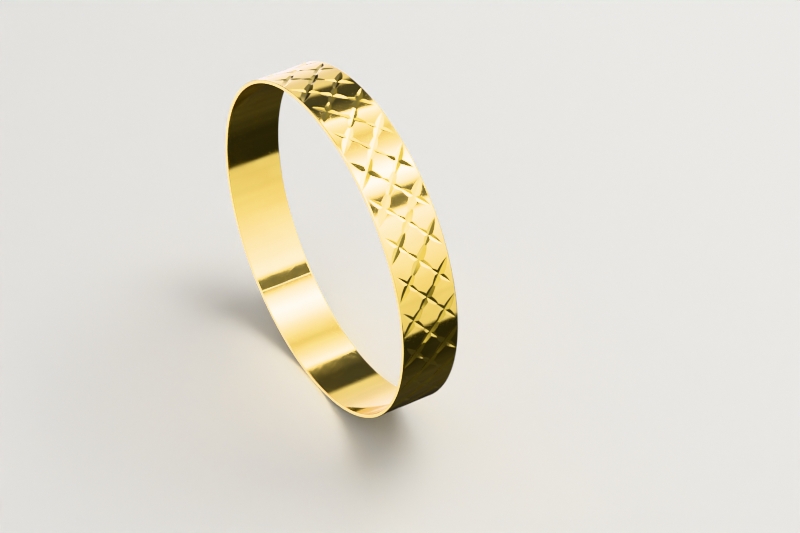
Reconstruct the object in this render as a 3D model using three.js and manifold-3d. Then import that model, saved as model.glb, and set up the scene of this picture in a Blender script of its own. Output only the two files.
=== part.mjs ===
// A slip-on bangle. One strip of gold sheet is bent round until its ends meet, the ends are
// soldered, and the ring is turned true, bevelled at both rims and cut outside with crossed
// V cuts. Units are millimetres. The ring's axis is Y, Z is up, the origin is its centre.

import * as THREE from 'three';
import { mergeVertices } from 'three/addons/utils/BufferGeometryUtils.js';
import Module from 'manifold-3d';

const wasm = await Module();
wasm.setup();

// The ring of sheet.
const innerDiameter = 57.15;
const wallThickness = 0.6;
const bandWidth = 10;
const rimBevel = 0.12;

// The solder joint between the strip's two ends, counted in pitches from the first cut.
const seamWidth = 0.2;
const seamStation = 18.25;

// Where the cuts sit: three rows across the band, the outer rows half a pitch round from
// the middle one, so that each cut points straight at its neighbours in the next row.
const pitchesRound = 29;
const rowsAcross = 3;
const outerRowToRim = 2.27;
const firstCutDegrees = 3.84;

// The cutter: a V tip that swings on a wide arc, so a cut is deepest at its middle and
// runs out to a point at both ends. Long cuts lean one way, shorter cross cuts the other.
const cutterSwingRadius = 32;
const flankSlope = 0.34;
const longCutDepth = 0.21;
const crossCutDepth = 0.155;

// How finely round shapes are faceted, and how far a cutting body stands clear of the metal.
const facetsPerPitch = 4;
const stepsPerCut = 4;
const clearOfMetal = 0.15;

const innerRadius = innerDiameter / 2;
const outerRadius = innerRadius + wallThickness;
const halfWidth = bandWidth / 2;
const pitchAngle = (2 * Math.PI) / pitchesRound;
const rowSpacing = (bandWidth - 2 * outerRowToRim) / (rowsAcross - 1);
const cutLean = Math.atan2(rowSpacing, (outerRadius * pitchAngle) / 2);
const sheetGold = { color: 0xe2b650, roughness: 0.14, metalness: 1 };
const solderGold = { color: 0xe6cd86, roughness: 0.3, metalness: 1 };

function toSolid(geometry) {
  geometry.deleteAttribute('normal');
  geometry.deleteAttribute('uv');
  const welded = mergeVertices(geometry);
  return new wasm.Manifold(new wasm.Mesh({
    numProp: 3,
    vertProperties: new Float32Array(welded.attributes.position.array),
    triVerts: new Uint32Array(welded.index.array),
  }));
}

function toGeometry(solid) {
  const { vertProperties, triVerts } = solid.getMesh();
  const geometry = new THREE.BufferGeometry();
  geometry.setAttribute('position', new THREE.BufferAttribute(vertProperties, 3));
  geometry.setIndex(new THREE.BufferAttribute(triVerts, 1));
  geometry.computeVertexNormals();
  return geometry;
}

// Directions at an angle round the ring, measured from +X towards +Z.
function outwardAt(angle) {
  return new THREE.Vector3(Math.cos(angle), 0, Math.sin(angle));
}

function roundAt(angle) {
  return new THREE.Vector3(-Math.sin(angle), 0, Math.cos(angle));
}

function angleOfStation(station) {
  return THREE.MathUtils.degToRad(firstCutDegrees) + station * pitchAngle;
}

// The turned ring: a band's cross-section with both outer corners bevelled.
function turnedRing() {
  const section = [
    [innerRadius, -halfWidth],
    [outerRadius - rimBevel, -halfWidth],
    [outerRadius, rimBevel - halfWidth],
    [outerRadius, halfWidth - rimBevel],
    [outerRadius - rimBevel, halfWidth],
    [innerRadius, halfWidth],
    [innerRadius, -halfWidth],
  ].map(([radius, along]) => new THREE.Vector2(radius, along));
  return toSolid(new THREE.LatheGeometry(section, facetsPerPitch * pitchesRound));
}

// What one stroke of the cutter takes away, lying along Z with Y pointing out of the metal.
function strokeOfDepth(depth) {
  const curving = (1 / cutterSwingRadius + Math.cos(cutLean) ** 2 / outerRadius) / 2;
  const reach = Math.sqrt((depth + clearOfMetal) / curving);
  const topHalfWidth = (depth + clearOfMetal) / flankSlope;
  const section = new THREE.Shape([
    new THREE.Vector2(0, -depth),
    new THREE.Vector2(topHalfWidth, clearOfMetal),
    new THREE.Vector2(-topHalfWidth, clearOfMetal),
  ]);
  const stroke = new THREE.ExtrudeGeometry(section, {
    depth: 2 * reach,
    steps: stepsPerCut,
    bevelEnabled: false,
  });
  stroke.translate(0, 0, -reach);
  const places = stroke.attributes.position;
  for (let i = 0; i < places.count; i += 1) {
    const rise = places.getZ(i) ** 2 / (2 * cutterSwingRadius);
    places.setY(i, places.getY(i) + rise);
  }
  return stroke;
}

function strokeAt(station, row, depth, lean) {
  const angle = angleOfStation(station);
  const outward = outwardAt(angle);
  const axial = new THREE.Vector3(0, 1, 0);
  const along = roundAt(angle).multiplyScalar(Math.cos(lean)).addScaledVector(axial, Math.sin(lean));
  const across = new THREE.Vector3().crossVectors(outward, along);
  const place = outward.clone().multiplyScalar(outerRadius).addScaledVector(axial, row * rowSpacing);
  const stroke = strokeOfDepth(depth);
  stroke.applyMatrix4(new THREE.Matrix4().makeBasis(across, outward, along).setPosition(place));
  return toSolid(stroke);
}

function cutRing() {
  let ring = turnedRing();
  const middleRow = (rowsAcross - 1) / 2;
  for (let row = -middleRow; row <= middleRow; row += 1) {
    for (let pitch = 0; pitch < pitchesRound; pitch += 1) {
      const station = pitch + row / 2;
      ring = ring.subtract(strokeAt(station, row, longCutDepth, cutLean));
      ring = ring.subtract(strokeAt(station, row, crossCutDepth, -cutLean));
    }
  }
  return ring;
}

// The slice of the ring that the solder joint takes up.
function seamSlice() {
  const angle = angleOfStation(seamStation);
  const through = wallThickness + 2 * clearOfMetal;
  const slice = new THREE.BoxGeometry(through, bandWidth + 2 * clearOfMetal, seamWidth);
  const middle = outwardAt(angle).multiplyScalar(innerRadius + wallThickness / 2);
  const axial = new THREE.Vector3(0, 1, 0);
  const across = new THREE.Vector3().crossVectors(outwardAt(angle), axial);
  slice.applyMatrix4(new THREE.Matrix4().makeBasis(outwardAt(angle), axial, across).setPosition(middle));
  return toSolid(slice);
}

function piece(name, solid, finish) {
  const mesh = new THREE.Mesh(toGeometry(solid), new THREE.MeshStandardMaterial(finish));
  mesh.name = name;
  return mesh;
}

const ring = cutRing();
const slice = seamSlice();
const bangle = new THREE.Group();
bangle.add(piece('band_strip', ring.subtract(slice), sheetGold));
bangle.add(piece('solder_seam', ring.intersect(slice), solderGold));

export default bangle;
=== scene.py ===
"""A slip-on bangle of yellow gold: one strip bent into a ring and soldered, then cut all round."""

import math
import random

import bpy
from mathutils import Matrix, Vector


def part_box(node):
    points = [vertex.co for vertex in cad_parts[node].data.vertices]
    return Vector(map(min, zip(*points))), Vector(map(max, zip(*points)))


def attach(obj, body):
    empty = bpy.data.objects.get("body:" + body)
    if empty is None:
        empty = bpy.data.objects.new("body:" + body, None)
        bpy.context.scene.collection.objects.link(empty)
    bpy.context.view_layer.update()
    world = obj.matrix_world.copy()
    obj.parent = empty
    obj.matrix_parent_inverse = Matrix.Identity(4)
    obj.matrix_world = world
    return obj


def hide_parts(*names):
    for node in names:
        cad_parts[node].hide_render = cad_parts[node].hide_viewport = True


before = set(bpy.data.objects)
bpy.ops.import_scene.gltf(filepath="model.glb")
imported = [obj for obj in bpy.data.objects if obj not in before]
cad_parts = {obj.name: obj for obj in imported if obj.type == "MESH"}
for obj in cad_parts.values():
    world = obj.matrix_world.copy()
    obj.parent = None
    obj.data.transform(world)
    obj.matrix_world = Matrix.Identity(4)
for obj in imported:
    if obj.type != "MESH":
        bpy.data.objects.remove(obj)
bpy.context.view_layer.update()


# ---------------------------------------------------------------- the strip
# A strip of 22 carat gold sheet, bent round until its ends meet and turned true on a lathe: flat
# rims, a fine bevel outside, softened corners inside. A diamond swinging on a wide arc cuts its
# pattern into the polished outside, and presses the thin wall in a little where strokes cross.

MM = 0.001
low, high = (Vector(corner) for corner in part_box("band_strip"))
ring_centre = (low + high) / 2
outer_radius = (high.x - low.x) / 2
half_width = (high.y - low.y) / 2
wall = 0.6 * MM
inner_radius = outer_radius - wall
bevel = 0.12 * MM
bevel_softness = 0.03 * MM
inner_softness = 0.09 * MM
corner_turn = math.radians(12)
corner_guard = 0.02 * MM
axial = Vector((0, 1, 0))

pitches_round = 29
facets_per_pitch = 24
strips_across = 30
pitch_angle = math.tau / pitches_round
first_cut = math.radians(3.84)

rows_across = 3
middle_row = [0]
outer_rows = [-1, 1]
outer_row_to_rim = 2.27 * MM
row_spacing = (2 * half_width - 2 * outer_row_to_rim) / (rows_across - 1)
cut_lean = math.atan2(row_spacing, outer_radius * pitch_angle / 2)
cutter_swing = 32 * MM
flank_slope = 0.34
lip_slope = 0.12
lip_depth = 0.010 * MM
least_width = 0.001 * MM
long_cut_depth = 0.21 * MM
cross_cut_depth = 0.155 * MM
steps_per_cut = 24
tries_at_foot = 2
clear_of_metal = 0.05 * MM

# How far a stroke may be off: round the ring in radians, across it in rows, in its depth as a
# share of it, and in its lean in degrees.
angle_slip = 0.0015
row_slip = 0.012
depth_slip = 0.06
lean_slip = 0.7

pillow_height = 0.024 * MM
deepest_press = 0.13 * MM
probe = 0.01 * MM

joint_gap = 0.2 * MM
joint_station = 18.25
joint_angle = first_cut + joint_station * pitch_angle

# How deep the wall is pressed in at each crossing, by the two cuts that meet there.
hand = random.Random(29)
presses = {(i, (i - row) % pitches_round): hand.random() * deepest_press
           for i in range(pitches_round) for row in range(-1, 2)}


def outward_at(angle):
    return Vector((math.cos(angle), 0, math.sin(angle)))


def around_at(angle):
    return Vector((-math.sin(angle), 0, math.cos(angle)))


def outside_radius(angle, along):
    """Where the polished outside is: pressed in at the crossings, no two of them the same, and
    standing up in low pillows between them."""
    station = ((angle - first_cut) / pitch_angle) % pitches_round
    row = max(-half_width, min(along, half_width)) / row_spacing
    a, b = station + row / 2, station - row / 2
    i, j = math.floor(a), math.floor(b)
    a, b = a - i, b - j
    pressed = sum(share * presses.get(((i + di) % pitches_round, (j + dj) % pitches_round), 0)
                  for di, dj, share in ((0, 0, (1 - a) * (1 - b)), (1, 0, a * (1 - b)),
                                        (0, 1, (1 - a) * b), (1, 1, a * b)))
    return outer_radius - pressed - pillow_height * (1 - 16 * a * (1 - a) * b * (1 - b))


def outside_normal(place):
    """Which way the polished outside faces beside a place."""
    angle = math.atan2(place.z, place.x)
    turn = probe / outer_radius
    climb_round = outside_radius(angle + turn, place.y) - outside_radius(angle - turn, place.y)
    climb_across = outside_radius(angle, place.y + probe) - outside_radius(angle, place.y - probe)
    tilt = around_at(angle) * climb_round + axial * climb_across
    return (outward_at(angle) * 2 * probe - tilt).normalized()


def softened(corners):
    """A closed outline whose corners are arcs, each kept between two guard points."""
    outline = []
    for i, (corner, radius) in enumerate(corners):
        before = Vector(corners[i - 1][0])
        after = Vector(corners[(i + 1) % len(corners)][0])
        corner = Vector(corner)
        back = (before - corner).normalized()
        ahead = (after - corner).normalized()
        turn = math.pi - back.angle(ahead)
        run = radius * math.tan(turn / 2)
        middle = corner + (back + ahead).normalized() * radius / math.cos(turn / 2)
        start = corner + back * run - middle
        swing = start.angle_signed(corner + ahead * run - middle)
        steps = math.ceil(turn / corner_turn)
        outline.append(corner + back * (run + corner_guard))
        for step in range(steps + 1):
            outline.append(middle + Matrix.Rotation(-swing * step / steps, 2) @ start)
        outline.append(corner + ahead * (run + corner_guard))
    return outline


def solid(name, points, faces):
    """A closed mesh object; each face's corners run anticlockwise seen from outside."""
    mesh = bpy.data.meshes.new(name)
    mesh.from_pydata(points, [], faces)
    obj = bpy.data.objects.new(name, mesh)
    bpy.context.collection.objects.link(obj)
    return obj


def turned_ring():
    """The ring before it is cut, its outside in strips narrow enough to follow the pillows."""
    section = softened([
        ((inner_radius, -half_width), inner_softness),
        ((outer_radius - bevel, -half_width), bevel_softness),
        ((outer_radius, bevel - half_width), bevel_softness),
        ((outer_radius, half_width - bevel), bevel_softness),
        ((outer_radius - bevel, half_width), bevel_softness),
        ((inner_radius, half_width), inner_softness),
    ])
    outside_from = outer_radius - bevel / 2
    edge = max(i for i, point in enumerate(section) if point.x > outside_from and point.y < 0)
    flat = 2 * section[edge].y
    section[edge + 1:edge + 1] = [
        Vector((outer_radius, flat * (0.5 - i / strips_across))) for i in range(1, strips_across)]
    around = pitches_round * facets_per_pitch
    count = len(section)
    points = []
    faces = []
    for i in range(around):
        angle = math.tau * i / around
        here = i * count
        there = (i + 1) % around * count
        for j, (radius, along) in enumerate(section):
            if radius > outside_from:
                radius += outside_radius(angle, along) - outer_radius
            points.append(ring_centre + outward_at(angle) * radius + axial * along)
            beside = (j + 1) % count
            faces.append((here + j, here + beside, there + beside, there + j))
    return solid("ring", points, faces)


def stroke(angle, row, depth, lean):
    """What one stroke takes away. Its section is a V that opens into a flatter lip, where the
    polishing afterwards rounds the edge over."""
    outward = outward_at(angle)
    along = around_at(angle) * math.cos(lean) + axial * math.sin(lean)
    across = outward.cross(along)
    place = outward * outer_radius + axial * row * row_spacing
    curving = (1 / cutter_swing + math.cos(cut_lean) ** 2 / outer_radius) / 2
    reach = math.sqrt((depth + clear_of_metal + deepest_press / 2) / curving)
    lip_width = (clear_of_metal + lip_depth) / lip_slope

    def surface(x, z):
        """How high the outside is in the stroke's own frame."""
        beside = place + across * x + along * z
        sideways = beside.dot(around_at(angle))
        radius = outside_radius(angle + sideways / outer_radius, beside.y)
        return math.sqrt(radius ** 2 - sideways ** 2) - outer_radius

    def half_section(side, z):
        """The foot of the lip and its top, on one side of the V. Past the ends of a cut both stay
        clear of the metal in the same order, so the section never folds over itself."""
        foot = 0
        for _ in range(tries_at_foot):
            foot = max(0, (surface(side * foot, z) - lip_depth - tip) / flank_slope)
        foot_height = min(tip + flank_slope * foot, surface(side * foot, z) + clear_of_metal / 2)
        edge = foot + lip_width
        top = surface(side * edge, z) + clear_of_metal
        return [(side * (foot + least_width), foot_height), (side * edge, top)]

    points = []
    faces = []
    for i in range(steps_per_cut + 1):
        z = reach * (2 * i / steps_per_cut - 1)
        tip = surface(0, 0) - depth + z ** 2 / (2 * cutter_swing)
        bottom = (0, min(tip, surface(0, z) + clear_of_metal / 3))
        section = [bottom] + half_section(1, z) + half_section(-1, z)[::-1]
        points += [place + across * x + outward * y + along * z for x, y in section]
    count = len(section)
    for last in range(0, count * steps_per_cut, count):
        now = last + count
        faces += [(last + j, last + (j + 1) % count, now + (j + 1) % count, now + j)
                  for j in range(count)]
    faces += [tuple(range(count - 1, -1, -1)), tuple(range(now, now + count))]
    return points, faces


def cutter(rows, depth, lean):
    """All the strokes of one lean in some rows, each a little off as the hand lets it."""
    all_points = []
    all_faces = []
    for row in rows:
        for pitch in range(pitches_round):
            points, faces = stroke(
                first_cut + (pitch + row / 2) * pitch_angle + hand.gauss(0, angle_slip),
                row + hand.gauss(0, row_slip),
                depth * (1 + hand.gauss(0, depth_slip)),
                lean + math.radians(hand.gauss(0, lean_slip)))
            first = len(all_points)
            all_points += [ring_centre + point for point in points]
            all_faces += [tuple(first + corner for corner in face) for face in faces]
    return solid("cutter", all_points, all_faces)


def gap_between_ends():
    """The slot that is left where the strip's two ends meet."""
    outward = outward_at(joint_angle)
    middle = ring_centre + outward * (inner_radius + wall / 2)
    through = outward * 2 * wall
    along = axial * 2 * half_width
    around = around_at(joint_angle) * joint_gap / 2
    points = [middle + through * x + along * y + around * z
              for x in (-1, 1) for y in (-1, 1) for z in (-1, 1)]
    faces = [(0, 1, 3, 2), (4, 6, 7, 5), (0, 4, 5, 1), (2, 3, 7, 6), (0, 2, 6, 4), (1, 5, 7, 3)]
    return solid("gap", points, faces)


def worked(obj, tool, operation):
    """The object's mesh with the tool taken from it, or only what they share."""
    change = obj.modifiers.new("tool", "BOOLEAN")
    change.object = tool
    change.operation = operation
    change.solver = "MANIFOLD"
    depsgraph = bpy.context.evaluated_depsgraph_get()
    mesh = bpy.data.meshes.new_from_object(obj.evaluated_get(depsgraph))
    obj.modifiers.clear()
    return mesh


ring = turned_ring()
for rows in (middle_row, outer_rows):
    for depth, lean in ((long_cut_depth, cut_lean), (cross_cut_depth, -cut_lean)):
        tool = cutter(rows, depth, lean)
        ring.data = worked(ring, tool, "DIFFERENCE")
        bpy.data.objects.remove(tool)
gap = gap_between_ends()


class Shade:
    """A shader socket that takes part in sums: an expression on it adds the nodes it needs."""

    def __init__(self, tree, socket=None):
        self.tree = tree
        self.socket = socket

    def node(self, kind, settings=None, values=None, out=0):
        """A node of one type: settings come first, then its sockets' values or links."""
        node = self.tree.nodes.new("ShaderNode" + kind)
        for name, setting in (settings or {}).items():
            setattr(node, name, setting)
        for name, value in (values or {}).items():
            if isinstance(value, Shade):
                self.tree.links.new(value.socket, node.inputs[name])
            else:
                node.inputs[name].default_value = value
        return Shade(self.tree, node.outputs[out])

    def sum(self, operation, *terms):
        return self.node("Math", {"operation": operation}, dict(enumerate(terms)))

    def __add__(self, other):
        return self.sum("ADD", self, other)

    def __sub__(self, other):
        return self.sum("SUBTRACT", self, other)

    def __rsub__(self, other):
        return self.sum("SUBTRACT", other, self)

    def __mul__(self, other):
        return self.sum("MULTIPLY", self, other)

    def __truediv__(self, other):
        return self.sum("DIVIDE", self, other)

    def __rpow__(self, other):
        return self.sum("POWER", other, self)

    def __neg__(self):
        return self.sum("MULTIPLY", self, -1.0)

    def __abs__(self):
        return self.sum("ABSOLUTE", self)

    __radd__ = __add__
    __rmul__ = __mul__

    def at_least(self, least):
        return self.sum("MAXIMUM", self, least)

    def at_most(self, most):
        return self.sum("MINIMUM", self, most)

    def above(self, start, end):
        """0 below start, 1 past end, and smooth between them."""
        return self.node("MapRange", {"interpolation_type": "SMOOTHSTEP"},
                         {"Value": self, "From Min": start, "From Max": end})

    def between(self, colour, other):
        """One colour where this is 0, the other where it is 1. A Mix node that is set to colour
        takes them by its sockets 6 and 7 and gives its result by the third."""
        return self.node("Mix", {"data_type": "RGBA"}, {0: self, 6: colour, 7: other}, out=2)

    def grain(self, scale, detail=2.0):
        return self.node("TexNoise", None, {"Vector": self, "Scale": scale, "Detail": detail})

    def parts(self):
        return [self.node("SeparateXYZ", None, {"Vector": self}, out=axis) for axis in "XYZ"]


def rgb(red, green, blue):
    return (red, green, blue, 1)


def round_and_across(shade):
    """The place on the ring unrolled flat, in millimetres, with its cut where the solder is."""
    turned = shade.node("VectorRotate", {"rotation_type": "Y_AXIS"}, {
        "Vector": shade.node("TexCoord", out="Object"),
        "Center": tuple(ring_centre),
        "Angle": joint_angle + math.pi,
    })
    x, y, z = turned.parts()
    run = x.sum("ARCTAN2", z, x) * (outer_radius / MM)
    return run, y / MM


scuff_dulling = 0.08
scuff_depth = 0.0004


def gold_finish(name, tone, worn_tone, dullest, brightest, wave, lines):
    """Polished gold: lathe lines that run round, handling marks, and faint waves in the sheet.
    Heights are in millimetres, and so is the flat place that the marks are laid out on."""
    material = bpy.data.materials.new(name)
    material.use_nodes = True
    tree = material.node_tree
    surface = tree.nodes["Principled BSDF"]
    shade = Shade(tree)
    run, across = round_and_across(shade)

    def laid_out(one_way, other_way):
        return shade.node("CombineXYZ", None, {"X": one_way, "Y": other_way})

    flat = laid_out(run, across)
    smear = flat.grain(0.16, 3)
    waves = flat.grain(0.30, 1)
    lathe_lines = laid_out(run * 0.06, across * 9).grain(1.0, 3)
    scuffs_down = laid_out(run * 0.5 + across * 0.3, across * 14 - run * 9).grain(0.35, 1)
    scuffs_up = laid_out(run * 0.4 - across * 0.4, across * 8 + run * 15).grain(0.30, 1)
    scuffs = scuffs_down.above(0.64, 0.74) + scuffs_up.above(0.65, 0.75)

    worn = smear.above(0.35, 0.7).between(tone, worn_tone)
    dull = smear.above(0.3, 0.75) * (dullest - brightest) + brightest + scuffs * scuff_dulling
    height = waves * wave + lathe_lines * lines - scuffs * scuff_depth
    bump = shade.node("Bump", None, {"Height": height, "Distance": MM, "Strength": 1.0})
    tree.links.new(worn.socket, surface.inputs["Base Color"])
    tree.links.new(dull.socket, surface.inputs["Roughness"])
    tree.links.new(bump.socket, surface.inputs["Normal"])
    surface.inputs["Metallic"].default_value = 1
    return material


# How far a face leans from the polished outside, in degrees, tells what it belongs to.
cell_leans_under = 4
lip_leans_under = 11
flank_leans_under = 40
sharp_edge = math.radians(25)
same_side = math.radians(20)


def beside_cut(face, flanks):
    """Which way the cut is flanked at a corner, on the same side of it as the face."""
    near = [way for way in flanks if way.normalized().dot(face.normal) > math.cos(same_side)]
    return sum(near, Vector()).normalized() if near else Vector()


def finished(obj, materials):
    """Each corner's normal is the real surface's: pillows between the cuts, flat flanks in them,
    and lips that turn from one to the other. Cut facets get the second finish."""
    mesh = obj.data
    mesh.shade_smooth()
    mesh.set_sharp_from_angle(angle=sharp_edge)
    mesh.materials.clear()
    for material in materials:
        mesh.materials.append(material)
    on_cell = set()
    flanks = {}
    lips = []
    cut_faces = []
    turned_to = [Vector()] * len(mesh.loops)
    for face in mesh.polygons:
        place = face.center - ring_centre
        if abs(place.y) > half_width - bevel or math.hypot(place.x, place.z) < inner_radius + wall / 4:
            continue
        leaning = math.degrees(face.normal.angle(outside_normal(place), 0))
        if leaning < cell_leans_under:
            for loop in face.loop_indices:
                corner = mesh.loops[loop].vertex_index
                on_cell.add(corner)
                turned_to[loop] = outside_normal(mesh.vertices[corner].co - ring_centre)
        elif leaning < lip_leans_under:
            lips.append(face)
        elif leaning < flank_leans_under:
            cut_faces.append(face)
            face.material_index = 1
            for corner in face.vertices:
                flanks.setdefault(corner, []).append(face.normal * face.area)
    for face in cut_faces:
        for loop in face.loop_indices:
            turned_to[loop] = beside_cut(face, flanks[mesh.loops[loop].vertex_index])
    for face in lips:
        for loop in face.loop_indices:
            corner = mesh.loops[loop].vertex_index
            if corner in on_cell:
                turned_to[loop] = outside_normal(mesh.vertices[corner].co - ring_centre)
            else:
                turned_to[loop] = beside_cut(face, flanks.get(corner, []))
    mesh.normals_split_custom_set(turned_to)


polished = gold_finish("polished_gold", rgb(0.95, 0.70, 0.185), rgb(0.93, 0.66, 0.165),
                       dullest=0.10, brightest=0.055, wave=0.008, lines=0.0004)
bright_cut = gold_finish("bright_cut_gold", rgb(0.97, 0.74, 0.21), rgb(0.96, 0.72, 0.20),
                         dullest=0.07, brightest=0.04, wave=0.002, lines=0.0001)
strip = bpy.data.objects.new("strip", worked(ring, gap, "DIFFERENCE"))
bpy.context.collection.objects.link(strip)
finished(strip, [polished, bright_cut])
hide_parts("band_strip")
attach(strip, "root")


# ---------------------------------------------------------------- the solder
# Gold solder that ran into the joint between the strip's ends. It was turned and cut with the
# strip, so it is flush with it, and it shows only as a slightly paler, duller line across.

solder_finish = gold_finish("solder_gold", rgb(0.90, 0.72, 0.30), rgb(0.86, 0.67, 0.27),
                            dullest=0.22, brightest=0.14, wave=0.004, lines=0.0002)
solder = bpy.data.objects.new("solder", worked(ring, gap, "INTERSECT"))
bpy.context.collection.objects.link(solder)
finished(solder, [solder_finish, solder_finish])
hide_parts("solder_seam")
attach(solder, "root")
for spent in (ring, gap):
    bpy.data.objects.remove(spent)


# ---------------------------------------------------------------- the floor
# A plain sheet of pale matt paper that the bangle stands on. The polished gold doesn't mirror
# it: it mirrors the dark of the studio instead, as it would on a dark stand.

floor_reach = 3000 * MM
floor_corners = ((-1, -1), (1, -1), (1, 1), (-1, 1))
floor_mesh = bpy.data.meshes.new("floor")
floor_mesh.from_pydata([(x * floor_reach, y * floor_reach, low.z) for x, y in floor_corners],
                       [], [(0, 1, 2, 3)])
floor = bpy.data.objects.new("floor", floor_mesh)
bpy.context.collection.objects.link(floor)
floor.visible_glossy = False
paper = bpy.data.materials.new("pale_paper")
paper.use_nodes = True
paper_surface = paper.node_tree.nodes["Principled BSDF"]
paper_surface.inputs["Base Color"].default_value = rgb(0.70, 0.69, 0.67)
paper_surface.inputs["Roughness"].default_value = 0.85
floor_mesh.materials.append(paper)


# ---------------------------------------------------------------- the light
# Even room light and one soft box for the shadow. What the gold mirrors is a studio of its own:
# sheets of light in front, overhead and behind, running along the ring's axis, and dark between.

world = bpy.data.worlds.new("studio")
bpy.context.scene.world = world
world.use_nodes = True
sky = Shade(world.node_tree)
backdrop = world.node_tree.nodes["Background"]
direction = sky.node("TexCoord", out="Generated")
ahead, aside, over = direction.parts()

# Round the ring's axis, in degrees from straight ahead up and over: from -180 to 180, and again
# from 0 to 360 for what goes on behind.
rise = sky.sum("ARCTAN2", over, ahead) * (180 / math.pi)
rise_behind = sky.sum("MODULO", rise + 360, 360.0)
to_the_side = abs(aside)


def band(way, start, end, start_soft, end_soft):
    """1 between start and end, 0 outside them, fading over the two softnesses."""
    return (way.above(start - start_soft, start + start_soft)
            * (1 - way.above(end - end_soft, end + end_soft)))


def doubling(way, start, every):
    """Brightness that is 1 where a way is at its start, and doubles every so many degrees."""
    return 2 ** ((way - start) / every)


# What the plain outside mirrors: light in front, overhead and behind, with dim gaps between.
front_glow = doubling(rise, -10, 17).at_least(0.93)
front = front_glow * band(rise, -32, 47.5, 1.5, 2)
overhead_glow = doubling(-abs(rise - 74), -24.3, 4.5).at_most(50) + 0.1
overhead = overhead_glow * band(rise, 60, 121, 3, 2)
over_back = doubling(rise, 100, 4) * 0.5 * band(rise, 102, 121, 4, 2)
behind_glow = (rise_behind.above(170, 190) * 2.2 + 1.05) * to_the_side.above(0.25, 0.32)
behind = behind_glow * band(rise_behind, 152, 212, 3, 8)
floor_glow = band(rise, -112, -66, 12, 12) * 0.035
gap_glow = (band(rise, 45, 150, 4, 3) * 0.05 + band(rise, 43, 63, 5, 5) * 0.18
            + band(rise, 115, 130, 5, 8) * 0.12)
level = floor_glow + gap_glow + front + overhead + over_back + behind + 0.042

# What the two flanks of a cut mirror: near the ring's own plane, and far out to a side.
low_level = (band(rise, -15, 164, 8, 8) * 0.24 + band(rise, -9, 6, 4, 2) * 0.5
             + band(rise, 17.5, 41, 2, 3) * 0.75 + band(rise, 58, 132, 4, 4) * 0.65
             + band(rise, 61, 88, 5, 5) * 4 + band(rise, 105, 128, 4, 4) * 6 + 0.075)
high_level = (front_glow.at_most(16) * band(rise, -33, 108, 2, 4)
              + band(rise_behind, 106, 168, 6, 8) * 0.17 + behind * 0.45 + 0.08)
nearer = to_the_side.above(0.14, 0.35)
further = to_the_side.above(0.46, 0.60)
level = low_level * (1 - nearer) + level * (nearer * (1 - further)) + high_level * further

# A low lamp on one side catches the rim, and nothing in the studio is quite even.
low_lamp = band(rise_behind, 190, 229, 10, 3) * band(aside, -0.60, -0.24, 0.05, 0.05) * 3.2
level = (level + low_lamp) * (direction.grain(2.6, 3) * 0.6 + 0.7)
level = level * (direction.grain(11, 2) * 0.5 + 0.75)

# The dark is a little cool, except low down behind and far out to the sides.
not_sideways = 1 - to_the_side.above(0.82, 0.95)
coolness = (1 - band(rise_behind, 202, 267, 8, 32)) * 0.05
coolness = coolness + (band(rise, 43, 63, 5, 5) + band(rise, 115, 150, 5, 5)) * 0.08
coolness = coolness * not_sideways + 0.005
blue_behind = band(rise_behind, 160, 212, 12, 8) * not_sideways * 0.35
seen = sky.node("CombineXYZ", None, {
    "X": level,
    "Y": level * (nearer * 0.04 + 0.96) + coolness * 0.12,
    "Z": level * (nearer * 0.38 + 0.62 + blue_behind) + coolness,
})

room_light = rgb(0.62, 0.62, 0.63)
mirrored = sky.node("LightPath", out="Is Glossy Ray")
colour = mirrored.between(room_light, seen)
sky.tree.links.new(colour.socket, backdrop.inputs["Color"])

soft_box = bpy.data.lights.new("soft_box", "AREA")
soft_box.shape = "SQUARE"
soft_box.size = 350 * MM
soft_box.energy = 2.2
soft_box_stand = bpy.data.objects.new("soft_box", soft_box)
soft_box_stand.location = ring_centre + Vector((50, 250, 550)) * MM
soft_box_stand.rotation_euler = (-soft_box_stand.location).to_track_quat("-Z", "Y").to_euler()
soft_box_stand.visible_glossy = False
bpy.context.collection.objects.link(soft_box_stand)


# ---------------------------------------------------------------- the camera
# A long lens that looks down on the ring from the front and left. It is moved a little right of
# the ring's centre and a little below it, so the ring comes out left of the middle and above it.

azimuth = math.radians(58.63)
elevation = math.radians(39.87)
distance = 382.2 * MM
beside_centre = 10.34 * MM
below_centre = 4.2 * MM
back = Vector((math.sin(azimuth) * math.cos(elevation), -math.cos(azimuth) * math.cos(elevation),
               math.sin(elevation)))
right = Vector((math.cos(azimuth), math.sin(azimuth), 0))
up = back.cross(right)
camera = bpy.data.objects.new("camera", bpy.data.cameras.new("camera"))
camera.data.lens = 105
camera.data.sensor_width = 36
camera.data.clip_start = 10 * MM
camera.location = ring_centre + back * distance + right * beside_centre - up * below_centre
camera.rotation_euler = Matrix((right, up, back)).transposed().to_euler()
bpy.context.collection.objects.link(camera)
bpy.context.scene.camera = camera
bpy.context.scene.view_settings.view_transform = "Khronos PBR Neutral"
